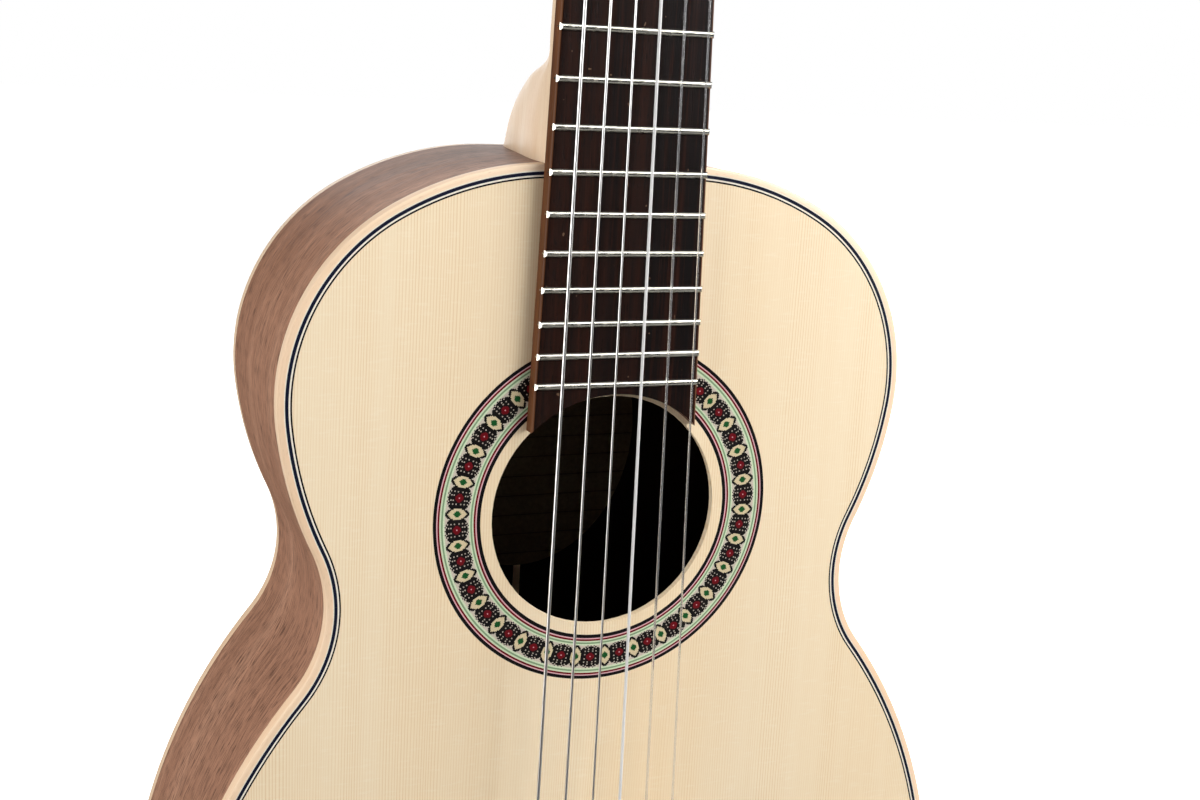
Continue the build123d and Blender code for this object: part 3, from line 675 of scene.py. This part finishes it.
def ribs(material):
    """Bent sides, each from the neck to the graft at the tail."""
    loop = outline_points(0.0)
    lowest = min(range(len(loop)), key=lambda i: loop[i][1])
    treble = [i for i in range(1, lowest) if loop[i][0] > GRAFT_HALF]
    bass = [len(loop) - i for i in treble]
    section = [(0.0, BINDING_HEIGHT), (RIB, BINDING_HEIGHT),
               (RIB, under_back(BINDING_HEIGHT)), (0.0, under_back(BINDING_HEIGHT))]
    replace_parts(strip("rib_treble_bent", section, material, treble), "rib_treble")
    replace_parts(strip("rib_bass_bent", section, material, bass), "rib_bass")


def tube(name, path, radius, material, sides=12):
    """Round cord along a path in a plane of constant x, with closed ends."""
    points, faces = [], []
    last = len(path) - 1
    for i, place in enumerate(path):
        heading = (path[min(i + 1, last)] - path[max(i - 1, 0)]).normalized()
        across = Vector((1.0, 0.0, 0.0))
        up = heading.cross(across).normalized()
        for k in range(sides):
            a = 2 * pi * k / sides
            points.append(place + radius * (cos(a) * across + sin(a) * up))
    for i in range(last):
        here, there = i * sides, (i + 1) * sides
        for k in range(sides):
            after = (k + 1) % sides
            faces.append((here + k, here + after, there + after, there + k))
    faces.append(tuple(range(sides))[::-1])
    faces.append(tuple(last * sides + k for k in range(sides)))
    piece = mesh_piece(name, points, faces, [material], "guitar")
    tidy_normals(piece)
    return soften(piece)


def tie_loops(frame):
    """Each string's end comes back over the tie block and lies against the string in front of it."""
    for number, radius in TIE_RADII.items():
        x = STRING_SHIFT + STRING_GAP_SADDLE * (MIDDLE_OF_STRINGS - number) + TIE_SHIFT
        path = [Vector((x, depth, z)) for depth, z in TIE_PATH]
        node = frame["nodes"][f"string_{number}"]
        tube(f"tie_loop_{number}", path, radius, node.data.materials[0])


# Finishes of the CAD nodes

def paint(frame, material, *names):
    """Give CAD nodes one material in place of their own."""
    for name in names:
        node = frame["nodes"][name]
        node.data.materials.clear()
        node.data.materials.append(material)


def paint_nodes(frame):
    """Give every visible CAD node its material."""
    neck_maple = maple("upright", "maple_neck", (246, 224, 196), (238, 208, 174))
    dark = rosewood("upright", "rosewood_board")
    across = rosewood("across", "rosewood_bridge", lit_side_colour=(60, 38, 30))
    brass = metal("plate_brass", (222, 182, 108), 0.22)
    steel = metal("worm_chrome", (214, 214, 216), 0.14)
    inside = inner_wood()
    bone_white = bone()
    paint(frame, spruce(), "soundboard")
    paint(frame, walnut("upright"), "back_plate")
    paint(frame, neck_maple, "neck", "neck_foot", "headstock")
    strip_maple = maple("upright", "maple_strip", (248, 226, 198), (240, 210, 176))
    paint(frame, strip_maple, "back_strip", "end_graft")
    paint(frame, dark, "fingerboard", "headstock_veneer")
    paint(frame, across, "bridge")
    paint(frame, inside, "tail_block", "linings", "harmonic_bars", "fan_braces", "back_braces")
    paint(frame, label_paper(), "label")
    paint(frame, metal("fret_wire", (198, 195, 184), 0.24, (60.0, 300.0, 300.0)), "frets")
    paint(frame, bone_white, "nut", "saddle", "tie_block_caps")
    paint(frame, brass, "tuner_plate_bass", "tuner_plate_treble", "plate_screws")
    wound = wound_string()
    clear = nylon("nylon_clear", 0.9, (252, 252, 253))
    milky = nylon("nylon_milky", 0.25, (246, 245, 244))
    strings = {6: wound, 5: wound, 4: wound, 3: milky, 2: clear, 1: clear}
    white, shiny, button = roller_white(), metal("gear_brass", (214, 172, 96), 0.26), pearl()
    for number in range(1, 7):
        paint(frame, strings[number], f"string_{number}")
        paint(frame, white, f"barrel_{number}")
        paint(frame, shiny, f"gear_{number}")
        paint(frame, steel, f"worm_{number}")
        paint(frame, button, f"button_{number}")


# Setting

def camera():
    """Camera on the bass side of the neck, above the soundhole and looking down at it."""
    azimuth, elevation, roll = (radians(a) for a in (CAMERA_AZIMUTH, CAMERA_ELEVATION, CAMERA_ROLL))
    back = Vector((sin(azimuth) * cos(elevation), -cos(azimuth) * cos(elevation), sin(elevation)))
    right = (-back).cross(Vector((0, 0, 1))).normalized()
    up = right.cross(-back)
    tilted_right = cos(roll) * right + sin(roll) * up
    tilted_up = -sin(roll) * right + cos(roll) * up
    data = bpy.data.cameras.new("camera")
    data.lens, data.sensor_width, data.clip_start = CAMERA_LENS, SENSOR, NEAR_CLIP
    made = bpy.data.objects.new("camera", data)
    bpy.context.scene.collection.objects.link(made)
    turn = Matrix((tilted_right, tilted_up, back)).transposed().to_4x4()
    made.matrix_world = Matrix.Translation(CAMERA_PLACE) @ turn
    bpy.context.scene.camera = made


def softbox(name, azimuth, elevation, distance, width, height, power):
    """Rectangular lamp that faces the body's middle."""
    around, up = radians(azimuth), radians(elevation)
    direction = Vector((sin(around) * cos(up), -cos(around) * cos(up), sin(up)))
    data = bpy.data.lights.new(name, "AREA")
    data.shape, data.size, data.size_y, data.energy = "RECTANGLE", width, height, power
    lamp = bpy.data.objects.new(name, data)
    lamp.location = BODY_MIDDLE + distance * direction
    lamp.rotation_mode = "QUATERNION"
    lamp.rotation_quaternion = (-direction).to_track_quat("-Z", "Y")
    lamp.visible_camera = False
    bpy.context.scene.collection.objects.link(lamp)


def sky():
    """White surroundings for the eye, and a dimmer grey that lights the object."""
    world = bpy.data.worlds.new("studio")
    world.use_nodes = True
    nodes, links = world.node_tree.nodes, world.node_tree.links
    background = nodes["Background"]
    background.inputs["Color"].default_value = (1.0, 1.0, 1.0, 1.0)
    path = nodes.new("ShaderNodeLightPath")
    level = nodes.new("ShaderNodeMapRange")
    level.inputs["To Min"].default_value = AMBIENT
    links.new(path.outputs["Is Camera Ray"], level.inputs["Value"])
    links.new(level.outputs["Result"], background.inputs["Strength"])
    bpy.context.scene.world = world


def studio():
    """Sky, softboxes and the floor."""
    bpy.context.scene.view_settings.view_transform = "Standard"
    sky()
    for box in SOFTBOXES:
        softbox(*box)
    points = [(x * FLOOR_HALF, y * FLOOR_HALF, FLOOR_Z) for x, y in ((-1, -1), (1, -1), (1, 1), (-1, 1))]
    mesh = bpy.data.meshes.new("floor")
    mesh.from_pydata(points, [], [(0, 1, 2, 3)])
    mesh.materials.append(floor_white())
    floor = bpy.data.objects.new("floor", mesh)
    floor.visible_diffuse = False
    floor.visible_glossy = False
    floor.visible_transmission = False
    floor.visible_shadow = False
    bpy.context.scene.collection.objects.link(floor)


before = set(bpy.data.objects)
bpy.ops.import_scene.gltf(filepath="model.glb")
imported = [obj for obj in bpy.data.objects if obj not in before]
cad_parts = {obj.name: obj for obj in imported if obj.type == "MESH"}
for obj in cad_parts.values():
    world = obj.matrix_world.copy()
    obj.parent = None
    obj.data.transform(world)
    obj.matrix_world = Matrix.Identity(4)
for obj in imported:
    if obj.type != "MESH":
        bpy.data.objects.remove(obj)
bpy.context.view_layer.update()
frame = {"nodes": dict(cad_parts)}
camera()
studio()
paint_nodes(frame)
inlays = {name: inlay(name) for name in INLAY_COLOURS}
rosette(inlays)
purfling(inlays)
bindings(maple("strip", "maple_binding", (250, 224, 194), (243, 208, 172)))
ribs(walnut("strip"))
tie_loops(frame)
